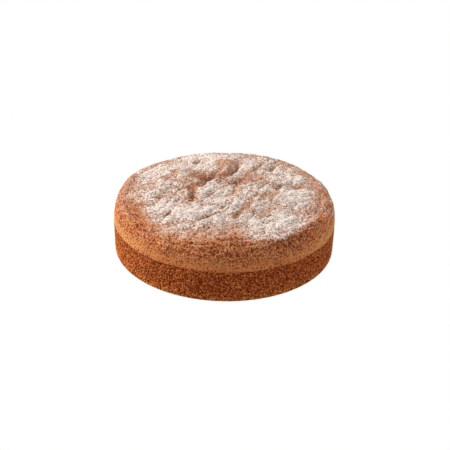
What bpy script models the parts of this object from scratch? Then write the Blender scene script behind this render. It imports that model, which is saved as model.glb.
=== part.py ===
"""A round vanilla sponge cake, baked in a tin and turned out whole, in metres with +Z up.

The cake stands on its flat base, centred on the origin. Its side is upright up to the line where the
baking paper ended. Above that line it bulges into a soft shoulder, and the top is a low dome whose
thin crust has sunk and wrinkled into creases, hollows and puffs.
"""

from collections import namedtuple
from math import atan2, cos, floor, hypot, pi, radians, sin

import bmesh
import bpy
import numpy as np
from mathutils import Matrix, Vector, noise

# Driving dimensions
DIAMETER = 0.220
PAPER_LINE = 0.030
SHOULDER_TOP = 0.054
SHOULDER_WIDTH = 0.012
SHOULDER_POWER = 0.93
DOME_RISE = 0.0035
FOOT_ROUNDING = 0.0025

# How the surface wanders from the plain turned shape
WRINKLE_LENGTH = 0.017
WRINKLE_WIDTH = 0.0085
WRINKLE_HEIGHT = 0.0007
WRINKLE_TURN = radians(62)
SWELL_SIZE = 0.045
SWELL_HEIGHT = 0.0009
SIDE_LUMP_SIZE = 0.022
SIDE_LUMP_HEIGHT = 0.0004

# Rings of triangles between the middle of the top and the foot
RINGS = 40
HEXAGON_SIDES = 6
CURVE_POINTS = 48
CREASE_POINTS = 9

RADIUS = DIAMETER / 2
TOP_RADIUS = RADIUS - SHOULDER_WIDTH

# A crease runs from near to far. The crust on its right-hand side has ridden up into a lip.
Crease = namedtuple("Crease", "near middle far width depth lip")
CREASES = (
    Crease((-0.029, 0.000), (-0.020, 0.013), (-0.007, 0.033), 0.0065, 0.0038, 0.0015),
    Crease((-0.034, -0.028), (-0.031, -0.014), (-0.035, 0.005), 0.0045, 0.0026, 0.0012),
    Crease((0.001, 0.031), (0.005, 0.046), (0.012, 0.067), 0.0060, 0.0024, 0.0006),
    Crease((0.004, 0.013), (0.014, 0.016), (0.021, 0.028), 0.0050, 0.0022, 0.0009),
    Crease((0.030, 0.047), (0.036, 0.064), (0.050, 0.077), 0.0045, 0.0017, 0.0010),
    Crease((0.039, 0.037), (0.045, 0.050), (0.054, 0.058), 0.0045, 0.0016, 0.0008),
    Crease((0.049, -0.010), (0.0535, 0.004), (0.062, 0.014), 0.0045, 0.0027, 0.0013),
    Crease((0.012, -0.012), (0.012, -0.001), (0.014, 0.011), 0.0045, 0.0014, 0.0007),
    Crease((0.036, -0.022), (0.039, -0.010), (0.043, 0.001), 0.0045, 0.0015, 0.0007),
    Crease((0.009, -0.061), (0.017, -0.042), (0.027, -0.016), 0.0050, 0.0024, 0.0011),
    Crease((-0.004, -0.042), (0.002, -0.035), (0.010, -0.026), 0.0045, 0.0015, 0.0008),
    Crease((-0.018, -0.053), (-0.010, -0.050), (-0.002, -0.047), 0.0045, 0.0020, 0.0006),
    Crease((-0.029, -0.066), (-0.020, -0.059), (-0.009, -0.057), 0.0060, 0.0016, 0.0005),
    Crease((0.030, -0.060), (0.037, -0.054), (0.045, -0.052), 0.0045, 0.0014, 0.0008),
    Crease((-0.055, -0.058), (-0.0505, -0.050), (-0.049, -0.042), 0.0045, 0.0020, 0.0010),
    Crease((-0.067, -0.020), (-0.064, -0.015), (-0.060, -0.011), 0.0045, 0.0014, 0.0006),
    Crease((-0.059, -0.001), (-0.050, 0.002), (-0.040, 0.004), 0.0045, 0.0013, 0.0006),
    Crease((-0.031, 0.060), (-0.027, 0.069), (-0.022, 0.077), 0.0045, 0.0014, 0.0008),
    Crease((0.040, -0.097), (0.063, -0.083), (0.081, -0.061), 0.0035, 0.0016, 0.0006),
)

# A puff stands up from the crust and a hollow, with a height below zero, sinks into it.
Swelling = namedtuple("Swelling", "centre half_length half_width turn height")
SWELLINGS = (
    Swelling((-0.022, 0.031), 0.015, 0.010, radians(60), -0.0030),
    Swelling((-0.030, 0.012), 0.010, 0.007, radians(65), -0.0016),
    Swelling((0.021, 0.030), 0.018, 0.011, radians(35), -0.0017),
    Swelling((0.077, 0.013), 0.015, 0.007, radians(0), -0.0012),
    Swelling((0.040, -0.037), 0.010, 0.008, radians(40), -0.0011),
    Swelling((0.007, -0.073), 0.010, 0.009, radians(90), -0.0009),
    Swelling((-0.003, 0.060), 0.020, 0.007, radians(80), 0.0018),
    Swelling((-0.020, -0.008), 0.013, 0.011, radians(60), 0.0014),
    Swelling((-0.034, -0.048), 0.016, 0.009, radians(-15), 0.0014),
    Swelling((0.067, -0.005), 0.014, 0.011, radians(20), 0.0015),
    Swelling((0.058, -0.062), 0.019, 0.013, radians(55), 0.0012),
    Swelling((-0.061, -0.030), 0.012, 0.010, radians(0), 0.0010),
    Swelling((0.070, 0.033), 0.012, 0.009, radians(30), 0.0010),
)


def clear_scene():
    """Remove whatever the scene holds."""
    for old in list(bpy.data.objects):
        bpy.data.objects.remove(old, do_unlink=True)


def smooth_step(low, high, value):
    """Rise softly from 0 at low to 1 at high."""
    t = min(max((value - low) / (high - low), 0.0), 1.0)
    return t * t * (3.0 - 2.0 * t)


def half_profile():
    """Radius, height and distance run from the middle of the top, over the shoulder, to the foot."""
    dome_r = np.linspace(0.0, TOP_RADIUS, CURVE_POINTS)
    dome_z = SHOULDER_TOP + DOME_RISE * (1.0 - (dome_r / TOP_RADIUS) ** 2)
    turn = np.linspace(pi / 2, 0.0, CURVE_POINTS)[1:]
    shoulder_r = TOP_RADIUS + SHOULDER_WIDTH * np.abs(np.cos(turn)) ** SHOULDER_POWER
    shoulder_z = PAPER_LINE + (SHOULDER_TOP - PAPER_LINE) * np.abs(np.sin(turn)) ** SHOULDER_POWER
    foot = np.linspace(0.0, pi / 2, CURVE_POINTS)
    foot_r = RADIUS - FOOT_ROUNDING * (1.0 - np.cos(foot))
    foot_z = FOOT_ROUNDING * (1.0 - np.sin(foot))
    r = np.concatenate((dome_r, shoulder_r, foot_r))
    z = np.concatenate((dome_z, shoulder_z, foot_z))
    run = np.concatenate(((0.0,), np.cumsum(np.hypot(np.diff(r), np.diff(z)))))
    return r, z, run


def crease_path(crease):
    """Points along the parabola through a crease's three places."""
    t = np.linspace(0.0, 1.0, CREASE_POINTS)[:, None]
    near, middle, far = (np.array(place) for place in (crease.near, crease.middle, crease.far))
    return near * (1 - t) * (1 - 2 * t) + middle * 4 * t * (1 - t) + far * t * (2 * t - 1)


def crease_height(crease, path, x, y):
    """Height of the crust near one crease: a steep lit lip on its right, a long slope on its left."""
    start, step = path[:-1], np.diff(path, axis=0)
    away = np.array((x, y)) - start
    length = np.einsum("ij,ij->i", step, step)
    along = np.clip(np.einsum("ij,ij->i", away, step) / length, 0.0, 1.0)
    gap = away - along[:, None] * step
    distance = np.hypot(gap[:, 0], gap[:, 1])
    nearest = int(np.argmin(distance))
    across = step[nearest, 1] * away[nearest, 0] - step[nearest, 0] * away[nearest, 1]
    side = distance[nearest] if across > 0 else -distance[nearest]
    strength = sin(pi * (nearest + along[nearest]) / len(start)) ** 0.6
    spread = crease.width * (0.55 if side > 0 else 1.0)
    cut = crease.depth * np.exp(-((side / spread) ** 2))
    lip = crease.lip * np.exp(-(((side - crease.width) / (0.8 * crease.width)) ** 2))
    return strength * (lip - cut)


def swelling_height(swelling, x, y):
    """Height that one puff or hollow adds, as a soft oval bump."""
    away_x, away_y = x - swelling.centre[0], y - swelling.centre[1]
    c, s = cos(swelling.turn), sin(swelling.turn)
    u = (away_x * c + away_y * s) / swelling.half_length
    v = (away_y * c - away_x * s) / swelling.half_width
    return swelling.height * np.exp(-(u * u + v * v))


def wrinkle_height(x, y):
    """Fine diagonal wrinkles of the crust on broad low swells."""
    c, s = cos(WRINKLE_TURN), sin(WRINKLE_TURN)
    along, across = x * c + y * s, y * c - x * s
    wrinkle = noise.noise(Vector((along / WRINKLE_LENGTH, across / WRINKLE_WIDTH, 0.0)))
    swell = noise.noise(Vector((x / SWELL_SIZE, y / SWELL_SIZE, 3.0)))
    return WRINKLE_HEIGHT * wrinkle + SWELL_HEIGHT * swell


def top_relief(x, y, paths):
    """Everything that the top crust adds to the plain dome at one place."""
    creases = sum(crease_height(crease, path, x, y) for crease, path in zip(CREASES, paths))
    swellings = sum(swelling_height(swelling, x, y) for swelling in SWELLINGS)
    return creases + swellings + wrinkle_height(x, y)


def side_relief(place):
    """Slow lumps of the side and shoulder, none at the flat base."""
    lump = noise.noise(place / SIDE_LUMP_SIZE)
    return SIDE_LUMP_HEIGHT * lump * smooth_step(0.0, 2 * FOOT_ROUNDING, place.z)


def place_on_cake(spot, profile, paths):
    """Wrap a point of the flat unit hexagon round the cake, from the middle of the top to the foot."""
    sector_angle = 2 * pi / HEXAGON_SIDES
    angle = atan2(spot.y, spot.x) % (2 * pi)
    sector = floor(angle / sector_angle)
    turn = angle - sector * sector_angle
    share = sin(turn) / (sin(turn) + sin(sector_angle - turn))
    reach = hypot(spot.x, spot.y) * cos(turn - sector_angle / 2) / cos(sector_angle / 2)
    around = (sector + share) * sector_angle

    r_points, z_points, run_points = profile
    run = reach * run_points[-1]
    step = run_points[-1] / RINGS / 2
    r, z = np.interp(run, run_points, r_points), np.interp(run, run_points, z_points)
    slope_r = np.interp(run + step, run_points, r_points) - np.interp(run - step, run_points, r_points)
    slope_z = np.interp(run - step, run_points, z_points) - np.interp(run + step, run_points, z_points)
    outward = Vector((slope_z * cos(around), slope_z * sin(around), slope_r)).normalized()

    place = Vector((r * cos(around), r * sin(around), z))
    flatness = smooth_step(0.05, 0.6, outward.z) * smooth_step(PAPER_LINE, SHOULDER_TOP, z)
    relief = flatness * top_relief(place.x, place.y, paths) + side_relief(place)
    return place + outward * relief


def crust_material():
    """Baked golden brown crust, dull all over."""
    material = bpy.data.materials.new("baked_crust")
    material.use_nodes = True
    shader = material.node_tree.nodes["Principled BSDF"]
    shader.inputs["Base Color"].default_value = (0.36, 0.17, 0.08, 1.0)
    shader.inputs["Roughness"].default_value = 0.85
    shader.inputs["Metallic"].default_value = 0.0
    return material


def build_cake():
    """Wrap an evenly divided hexagon over the cake, close its base and make the object."""
    bm = bmesh.new()
    bmesh.ops.create_circle(bm, segments=HEXAGON_SIDES, radius=1.0, cap_ends=True, cap_tris=True)
    corner_on_x = Matrix.Rotation(pi / HEXAGON_SIDES, 3, "Z")
    bmesh.ops.rotate(bm, verts=bm.verts, matrix=corner_on_x)
    bmesh.ops.subdivide_edges(bm, edges=list(bm.edges), cuts=RINGS - 1, use_grid_fill=True)
    profile = half_profile()
    paths = [crease_path(crease) for crease in CREASES]
    for vertex in bm.verts:
        vertex.co = place_on_cake(vertex.co, profile, paths)
    foot = [edge for edge in bm.edges if edge.is_boundary]
    for vertex in {v for edge in foot for v in edge.verts}:
        vertex.co.z = 0.0
    bmesh.ops.contextual_create(bm, geom=foot)
    bmesh.ops.recalc_face_normals(bm, faces=list(bm.faces))
    mesh = bpy.data.meshes.new("cake")
    bm.to_mesh(mesh)
    bm.free()
    mesh.shade_smooth()
    mesh.materials.append(crust_material())
    cake = bpy.data.objects.new("cake", mesh)
    bpy.context.scene.collection.objects.link(cake)


def main():
    clear_scene()
    build_cake()


main()
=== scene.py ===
"""Looks of a whole vanilla sponge cake: a porous brown side, a wrinkled golden crust and icing sugar.

Run as a script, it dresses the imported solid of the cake. Everything is in metres, +Z up, with the
cake's flat base on the floor and -Y towards the camera.
"""

from collections import namedtuple
from math import cos, pi, radians, sin

import bpy
import numpy as np
from bpy.props import FloatProperty, FloatVectorProperty, IntProperty, PointerProperty
from bpy.types import Operator, Panel, PropertyGroup
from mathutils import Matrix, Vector, noise


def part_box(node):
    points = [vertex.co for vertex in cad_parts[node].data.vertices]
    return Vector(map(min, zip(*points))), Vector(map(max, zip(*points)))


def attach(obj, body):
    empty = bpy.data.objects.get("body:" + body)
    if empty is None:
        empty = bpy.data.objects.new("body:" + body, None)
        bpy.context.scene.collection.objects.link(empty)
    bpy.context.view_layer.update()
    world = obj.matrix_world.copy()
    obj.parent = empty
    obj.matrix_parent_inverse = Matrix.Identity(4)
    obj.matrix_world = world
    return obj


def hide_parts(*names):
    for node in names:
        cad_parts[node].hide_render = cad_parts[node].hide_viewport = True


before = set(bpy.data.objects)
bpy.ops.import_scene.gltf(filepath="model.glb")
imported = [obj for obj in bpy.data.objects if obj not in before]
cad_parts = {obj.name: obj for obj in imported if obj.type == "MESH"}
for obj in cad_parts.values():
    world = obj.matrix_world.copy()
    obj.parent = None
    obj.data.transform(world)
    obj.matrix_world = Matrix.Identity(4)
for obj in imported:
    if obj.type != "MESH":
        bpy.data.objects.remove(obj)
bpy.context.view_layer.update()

bl_info = {
    "name": "Sugared Sponge Cake",
    "version": (1, 0, 0),
    "blender": (4, 5, 0),
    "location": "3D View > Sidebar > Cake",
    "description": "Builds the crumb side, dusted crust, icing sugar, crumbs and studio of a sponge cake",
    "category": "Add Mesh",
}

NODE = "cake"
BODY = "root"
UV_MAP = "OFBake"
CAKE_LOW, CAKE_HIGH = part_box(NODE)
CAKE_RADIUS = round((CAKE_HIGH[0] - CAKE_LOW[0]) / 2, 3)

MM = 0.001
PERCENT = 0.01

# How finely the shapes are divided. A disc has six sectors, and each ring has one more step in each.
SECTORS = 6
CURVE_POINTS = 64
CREASE_POINTS = 13
SIDE_ROWS = 58

Crease = namedtuple("Crease", "near middle far width depth lip")
Oval = namedtuple("Oval", "centre half_length half_width turn amount")


def creases(*rows):
    """Creases from rows in millimetres: x and y of three places, then width, depth and lip height."""
    made = []
    for row in rows:
        x1, y1, x2, y2, x3, y3, width, depth, lip = (value * MM for value in row)
        made.append(Crease((x1, y1), (x2, y2), (x3, y3), width, depth, lip))
    return made


def ovals(unit, *rows):
    """Ovals from rows: x, y, half length and half width in millimetres, turn in degrees, and amount."""
    return [
        Oval((x * MM, y * MM), length * MM, width * MM, radians(turn), amount * unit)
        for x, y, length, width, turn, amount in rows
    ]


# A crease runs from near to far. The crust on its right-hand side has ridden up into a lip.
CREASES = creases(
    (-24, 7, -14.5, 27, -7, 48, 6, 5, 2), (-31, -25, -29, -10, -34, 10, 4.5, 3.6, 1.4),
    (13, 75, 9, 53, 1, 36, 5.5, 3.4, 1), (3, 17, 13, 20, 21, 33, 5, 2.8, 1.1),
    (30, 42, 35, 59, 48, 80, 4.5, 2.4, 1.4), (46, 47, 50, 57, 55, 66, 4.5, 1.6, 0.8),
    (50, 5, 57, 15, 70, 20, 4.5, 3.4, 1.6), (9, -10, 10, 1, 12, 13, 4.5, 1.7, 0.8),
    (36, -22, 39, -12, 42, -3, 4, 1.3, 0.6), (10, -58, 13, -50, 18, -40, 4.5, 3.1, 1.4),
    (17, -42, 23, -30, 28, -12, 5.5, 1.6, 0.8), (-6, -41, 1, -33, 9, -24, 4.5, 1.8, 1),
    (-18, -52, -10, -48, -1, -44, 4.5, 3, 1), (-29, -63, -17, -56, -8, -52, 5.5, 2, 0.7),
    (30, -59, 36, -53, 45, -49, 4.5, 1.8, 1), (-56, -58, -51.5, -49, -49, -40, 4, 2.4, 1.3),
    (-67, -19, -64, -13, -59, -9, 4.5, 1.8, 0.8), (-59, 1, -50, 4, -40, 6, 4.5, 1.6, 0.7),
    (-32, 62, -29, 71, -24, 79, 4.5, 1.8, 1), (40, -97, 63, -83, 81, -61, 3, 1.2, 0.8),
    (-63, -6, -58, -6, -52, -8, 3.5, 1.3, 0.6), (-47, -29, -44.5, -23, -43, -17, 3.5, 1.5, 0.6),
    (-20, -16, -12, -9, -12, 2, 4, 1.4, 0.6), (51, 67, 54, 73, 59, 78, 3.5, 1.4, 0.6),
    (-4, -96, 6, -94, 16, -91, 2.2, 2, 0.8), (-80, -64, -75, -68, -70, -72, 2.5, 1.4, 0.5),
    (-20, -35, -20, -31, -19, -27, 3, 1.2, 0.5), (56, -23, 59, -19, 60, -14, 3, 1.1, 0.5),
    (-58, -8, -58, -4, -56, -1, 3, 1.1, 0.5), (60, -83, 70, -79, 79, -73, 2.2, 0.9, 0.5),
    (22, -98, 34, -94, 46, -90, 2.2, 0.9, 0.5),
)

# Widths of a crease's steep side and of its lip, how its ends fade, how far round it is looked at, how
# strongly all creases show, and the depth from which one counts in full, for painted shade and lost sugar.
STEEP_SLOPE = 0.55
LIP_WIDTH = 0.8
END_FADE = 0.6
CREASE_REACH = 4
CREASE_STRENGTH = 1.25
DARK_CREASE_DEPTH = 2 * MM

# A puff stands up from the crust and a hollow, with a height below zero, sinks into it.
SWELLINGS = ovals(
    MM,
    (-24, 36, 14, 10, 40, -2.4), (-31, 14, 10, 7, 60, -1.4), (21, 31, 18, 10, 25, -1.9),
    (77, 16, 13, 7, 10, -1.4), (40, -36, 10, 8, 40, -1.2), (7, -72, 10, 9, 90, -0.9),
    (-1, 66, 15, 8, 83, 1.8), (-14, 34, 8, 5, 60, -1.2), (-20, -8, 13, 11, 60, 1.4),
    (-34, -48, 16, 9, -15, 1.4), (67, -5, 14, 11, 20, 1.5), (58, -62, 19, 13, 55, 1.2),
    (-61, -30, 12, 10, 0, 1), (70, 33, 12, 9, 30, 1), (-62, -15, 6, 5, 45, -1.2), (-18, -15, 7, 4, 80, -1),
    (8, 14, 8, 5, 20, -1.1), (45, 53, 7, 4, 60, -0.9), (-50, -48, 5, 4, 60, -1.3), (-58, -52, 6, 5, 0, 0.8),
    (24, -52, 10, 7, 60, 1), (36, 62, 16, 5, 65, 1), (-66, 44, 12, 9, 0, 0.8), (-96, 38, 24, 10, 70, 2),
    (56, 82, 24, 10, -36, 1.5),
)

# Single pores that stand out among the fine ones, in millimetres.
PORES = (
    (-96, -24), (-82, -30), (-78, -32), (-87, -48), (-62, -51), (-55, 43), (-57, 62), (-21, 77), (-18, -73),
    (-26, -84), (-3, -86), (-47, -92), (-4, -101), (80, -46), (82, -30), (90, -10), (57, -85), (41, -97),
    (21, -70), (8, -94), (-80, 3), (-74, -67), (47, -78), (-62, -60), (82, 33),
)
PORE_RADIUS = 1.3 * MM

# Where sugar has drifted thick.
DRIFTS = ovals(
    PERCENT,
    (-34, -47, 20, 10, -8, 80), (-58, -58, 8, 6, 0, 35), (-42, -80, 20, 8, -20, 20),
    (-60, -36, 13, 11, 20, 18), (-14, -12, 14, 11, 50, 12), (1, -32, 11, 8, 50, 18),
    (55, -68, 19, 12, 40, 50), (40, -84, 18, 8, 12, 46), (70, -61, 12, 7, 60, 40),
    (30, -68, 12, 10, 70, 14), (70, 33, 14, 9, 30, 48), (52, 44, 11, 8, 60, 26), (67, -5, 13, 10, 20, 22),
    (-69, 47, 12, 10, 0, 25), (-20, 66, 10, 14, 0, 20), (-40, 90, 22, 8, 15, 30), (100, 0, 40, 10, 90, 20),
    (61, 23, 10, 4, 30, 32), (70, -8, 11, 6, 55, 26), (-26, -56, 6, 5, 0, 59), (-20, -66, 12, 4, 25, 26),
    (-52, -56, 10, 4, 15, 30), (-37, -70, 7, 6, 0, 26), (28, -57, 14, 4, 10, 28), (-71, -38, 8, 5, 20, 22),
    (-58, -20, 6, 4, 45, 18), (-63, -3, 7, 4, 40, 18), (-19, -3, 9, 5, 0, 16), (-4, -10, 6, 4, 20, 20),
    (2, -27, 5, 4, 0, 22), (9, -38, 8, 5, 30, 16), (5, 2, 6, 3, 60, 18), (44, 6, 8, 4, 60, 20),
    (43, 30, 4, 6, 0, 22), (40, 57, 4, 6, 0, 18), (-1, 80, 4, 12, 0, 26), (-18, 74, 5, 16, -15, 16),
    (25, 79, 6, 4, 30, 26), (-36, 73, 5, 10, 20, 18), (-32, 95, 8, 7, 0, 22), (-85, 33, 6, 8, -30, 22),
    (-30, 26, 5, 5, 0, 22), (44, -88, 18, 5, 10, 20), (74, -22, 10, 6, 20, 14), (-25, -33, 5, 5, 0, 26),
    (-12, -43, 5, 4, 0, 36), (-58, -58, 6, 4, 0, 20), (-5, -56, 8, 4, 40, 28), (20, -57, 7, 4, 0, 22),
    (3, -27, 5, 4, 0, 18), (66, -11, 5, 5, 0, 22), (46, -52, 12, 5, 30, 16), (58, -57, 4, 4, 0, 38),
    (-14, 78, 5, 8, 0, 18), (-33, 95, 6, 6, 0, 16), (1, -83, 6, 6, 0, 20), (50, -91, 10, 4, 20, 18),
    (-62, -4, 5, 4, 0, 16), (-70, -36, 6, 4, 0, 14), (-16, 45, 9, 4, 70, 35), (-30, 27, 7, 4, 0, 25),
    (30, 47, 6, 5, 0, 30), (9, 48, 4, 7, 0, 25), (-21, -8, 5, 7, 0, 28), (-31, -6, 4, 8, 0, 20),
    (5, 1, 8, 4, 70, 26), (66, -8, 12, 5, 35, 22), (76, 3, 7, 4, 30, 15), (-13, -44, 4, 4, 0, 25),
    (-47, -53, 12, 4, 40, 22), (-60, -64, 10, 3, 15, 18), (-48, -84, 8, 4, 0, 22), (-25, -73, 6, 4, 30, 20),
    (22, -25, 9, 4, 60, 18), (3, -29, 4, 4, 0, 20), (45, -50, 12, 4, 25, 15), (70, 75, 8, 6, 0, 20),
    (56, 80, 5, 8, 0, 20), (-20, 10, 3, 3, 0, 20), (75, 32, 6, 4, 60, 15), (30, 32, 4, 4, 0, 25),
    (-85, 56, 6, 5, 0, 20), (20, -60, 4, 6, 0, 15), (27, -72, 4, 4, 0, 20), (-32, 67, 4, 5, 0, 28),
    (-30, 28, 5, 5, 0, 28), (12, 52, 9, 3, 70, 28), (75, 2, 8, 5, 20, 22), (35, -12, 6, 3, 60, 26),
    (-12, -44, 5, 4, 0, 22), (-44, -86, 20, 8, -20, 15), (-65, -5, 8, 4, 45, 28), (-16, -3, 7, 4, 70, 30),
    (9, 46, 7, 3, 75, 25), (51, 73, 12, 3, 55, 30), (-10, 93, 3, 10, 0, 30), (20, -9, 4, 4, 0, 22),
    (60, -60, 5, 4, 0, 20), (-48, -62, 4, 6, 0, 20), (-27, -56, 6, 3, 0, 18),
)

# Where the crust is barer.
BARE_SPOTS = ovals(
    PERCENT,
    (-21, 36, 16, 9, 40, -74), (-33, 36, 7, 6, 0, -40), (-29, 13, 11, 6, 50, -50), (-36, 5, 9, 6, 70, -40),
    (-45, 20, 10, 5, 20, -24), (-39, 51, 10, 3, 85, -26), (-56, 45, 6, 5, 45, -38),
    (-28, 72, 7, 3, 65, -32), (-62, 27, 8, 5, 20, -36), (-74, 15, 8, 4, 0, -24), (-2, 66, 16, 7, 82, -62),
    (9, 58, 17, 6, 75, -50), (0, 38, 9, 6, 60, -40), (20, 28, 17, 9, 20, -52), (24, 44, 10, 7, 60, -34),
    (35, 30, 8, 8, 0, -36), (13, 16, 12, 6, 15, -28), (32, 59, 10, 3, 80, -26), (-58, -10, 12, 5, 50, -30),
    (-62, -17, 6, 5, 0, -34), (-34, -18, 12, 5, 85, -38), (-51, -48, 5, 3, 50, -40),
    (-59, -50, 5, 3, 0, -20), (-10, -50, 10, 4, 20, -45), (-18, -59, 8, 3, 15, -20),
    (11, -51, 11, 4, 65, -34), (21, -34, 12, 4, 60, -20), (34, -42, 14, 7, 25, -34),
    (41, -32, 8, 8, 60, -26), (5, -10, 7, 5, 30, -22), (3, -77, 12, 10, 90, -28), (-12, -77, 12, 8, 0, -26),
    (-35, -89, 35, 8, -8, -16), (75, 14, 11, 6, 10, -36), (86, 30, 12, 7, 80, -30), (90, 5, 30, 8, 90, -18),
    (57, 14, 9, 5, 45, -45), (46, 57, 9, 4, 70, -24), (60, 72, 10, 6, 45, -15),
    (-87, -40, 20, 10, -65, -26), (-82, -30, 5, 4, 0, -30), (-66, 77, 15, 9, 50, -14),
    (-38, 43, 9, 6, 0, -22), (-51, 41, 5, 5, 0, -20), (-12, 31, 10, 6, 20, -65), (-29, 9, 8, 7, 0, -50),
    (-33, -24, 9, 7, 70, -30), (-36, -40, 4, 7, 0, -20), (-76, -64, 5, 8, 0, -16),
    (47, 88, 12, 7, -30, -18), (6, 96, 9, 5, 0, -18), (70, 60, 10, 7, 0, -24), (82, 45, 8, 12, 0, -14),
    (30, 16, 10, 5, 20, -16), (51, -2, 8, 3, 70, -24), (13, -1, 10, 3, 70, -18), (60, -21, 4, 4, 0, -26),
    (39, -14, 7, 2, 60, -20), (12, -80, 4, 4, 0, -20), (-97, 25, 8, 6, 90, -20), (97, 9, 10, 6, 90, -20),
    (-77, -64, 4, 8, 0, -20), (-47, -67, 4, 6, -30, -22), (-58, 70, 8, 10, 0, -16), (45, 85, 8, 6, 0, -14),
    (74, 45, 6, 6, 0, -14), (85, 44, 5, 12, 0, -14), (-71, 28, 12, 4, 15, -14), (-15, -14, 5, 4, 40, -16),
    (-58, 66, 12, 8, 0, -22), (-50, 40, 7, 5, 0, -28), (-42, 30, 5, 5, 0, -28), (-32, 45, 6, 6, 0, -25),
    (-58, 24, 10, 6, 0, -20), (-48, 19, 8, 4, 0, -15), (-40, 4, 14, 5, 0, -22), (-28, 8, 5, 5, 0, -25),
    (-10, 23, 6, 7, 0, -30), (25, 14, 18, 6, -5, -26), (38, 36, 4, 10, 0, -20), (40, 74, 6, 7, 0, -22),
    (45, 90, 8, 6, 0, -18), (80, -45, 6, 10, 0, -22), (74, -60, 6, 6, 0, -12), (-30, -65, 5, 5, 0, -24),
    (-45, -70, 6, 5, 0, -18), (-72, 5, 4, 4, 0, -24), (-87, 20, 4, 4, 0, -20), (-85, -12, 4, 8, 0, -18),
    (38, -16, 5, 3, 60, -20), (85, -25, 4, 10, 0, -15), (5, 95, 8, 5, 0, -16), (70, 11, 8, 3, 0, -28),
    (4, -9, 4, 4, 0, -28), (50, 84, 4, 6, 0, -26), (20, 85, 9, 4, 30, -24), (-15, 33, 6, 4, 70, -25),
    (-11, 64, 8, 4, 60, -25), (-55, -78, 10, 7, -20, -12), (-78, -28, 9, 6, 0, -25),
    (-40, -14, 4, 7, 0, -22), (-42, -34, 10, 4, 35, -22), (-30, 11, 8, 5, 60, -20), (12, -2, 3, 9, 0, -25),
    (22, 26, 6, 4, 0, -20), (51, -3, 4, 8, 0, -22), (78, 14, 8, 4, 20, -20), (-10, -48, 5, 3, 20, -25),
)

# Where the crust is baked less and shows golden, and where it shows red: partly crust baked more, partly
# painted shade in hollows, creases and pits.
GOLDEN_SPOTS = ovals(
    PERCENT,
    (-3, 66, 16, 6, 83, 75), (40, -34, 10, 9, 60, 30), (25, 43, 9, 7, 60, 16),
)
RED_AND_SHADED_SPOTS = ovals(
    PERCENT,
    (-14, 33, 12, 6, 60, 36), (-23, 37, 14, 8, 40, 46), (9, 58, 16, 5, 75, 8), (-10, -49, 9, 4, 20, 22),
    (7, -94, 10, 2, 15, 35), (-30, 12, 12, 8, 50, 62), (-98, 24, 8, 6, 90, 20), (-101, -10, 45, 9, 85, 20),
    (98, 9, 10, 6, 90, 20), (56, 14, 6, 4, 50, 30), (20, 31, 13, 7, 20, 8), (68, -82, 24, 9, 40, 5),
)

# Streaks across the top run at this angle, and streaks round the rim follow its slope.
STREAK_TURN = radians(62)
RIM_RADIUS = 100 * MM
RIM_SLOPE = 1.2

# Heights of the crust's folds, of its lumps and grain on the band and above it, and depth of its pits.
WIDE_FOLD = 3.0 * MM
NARROW_FOLD = 0.5 * MM
MEAN_FOLD = 0.22
WRINKLE_HEIGHT = 0.7 * MM
SWELL_HEIGHT = 0.9 * MM
LUMP_HEIGHTS = (0.06 * MM, 0.12 * MM)
GRAIN_HEIGHTS = (0.10 * MM, 0.24 * MM)
BROAD_LUMP_HEIGHT = 0.4 * MM
PIT_DEPTH = 0.6 * MM

# A pit is flat in its middle, to this share of its reach. Noise picks the cells that have one.
PIT_CORE = 0.35
CELL_SPREAD = 5.3

# What the smooth band keeps of the folds and pits, and what the far rim keeps of the folds.
BAND_FOLDS = 0.15
BAND_PITS = 0.35
FAR_RIM_FOLDS = 0.3

# The crust stops just inside the solid, curls under at the paper line and is tucked in there.
CRUST_INSET = 0.4 * MM
CURL = 0.3 * MM
TUCKED_RINGS = 7
TUCKED_RUN = 4.5 * MM

# The base starts a little inside the foot. Rim and top bend over softly below the greatest width and
# height. The slope of a profile is read across this step to each side.
BASE_INSET = 0.9 * MM
SOFT_RIM = 0.4 * MM
SOFT_TOP = 1.3 * MM
TOP_CLEARANCE = 0.1 * MM
SLOPE_STEP = 0.6 * MM

# Sugar cover, where half hides the crust: its mean, how uneven it is, what creases, pits and grain take
# or give, and how much of the cover and of the haze is lost at the rim and, towards the back, kept.
MEAN_COVER = 0.82
COVER_UNEVENNESS = 0.34
CREASE_LOSS = 0.85
PIT_LOSS = 0.3
GRAIN_GAIN = 0.30
RIM_LOSS, BACK_KEPT = 0.60, 0.17
HAZE_LOSS, BACK_HAZE = 0.70, 0.38
BARE_HAZE = 0.60
THICKEST_COVER = 1.4
SUGAR_DEPTH = 0.12 * MM

# How dark the crust is, from 0 to 1: how dark it is baked on the mean and how unevenly, the painted shade
# that creases and pits add, and how much of a crease, with its painted shade and lost sugar, a valley
# between folds is. Then how golden the top and the golden spots are.
MEAN_SHADE = 0.46
SHADE_UNEVENNESS = 0.22
CREASE_PAINTED_SHADE = 0.50
PIT_PAINTED_SHADE = 0.30
VALLEY_SHARE = 0.26
TOP_GOLD = 0.9
SPOT_GOLD = 1.4

# How much more orange and lighter the side's crumb is painted towards the back and the left: painted light
# where the lamps fall, so the front stays darker.
BACK_PAINTED_LIGHT = 0.34
LEFT_PAINTED_LIGHT = 0.14

# Middle and half width of the spots on the map for the top, the base and two faces that don't show.
TOP_SPOT = (0.5, 0.5, 0.49)
TUCK_SPOT = (0.03, 0.03, 0.02)
BASE_SPOT = (0.20, 0.80, 0.17)
LID_SPOT = (0.90, 0.90, 0.02)

# The wall's lower edge lies just outside the base on the map. The wall is cut into long strips there.
WALL_EDGE = 1.03
STRIPS = 4
STRIP_LENGTH = 0.68
STRIP_HEIGHT = 0.14
STRIP_MARGIN = 0.01

# Spread of the sizes of grains and crumbs, and their smallest share of the mean size.
SIZE_SPREAD = 0.35
SMALLEST_SHARE = 0.4

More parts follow.
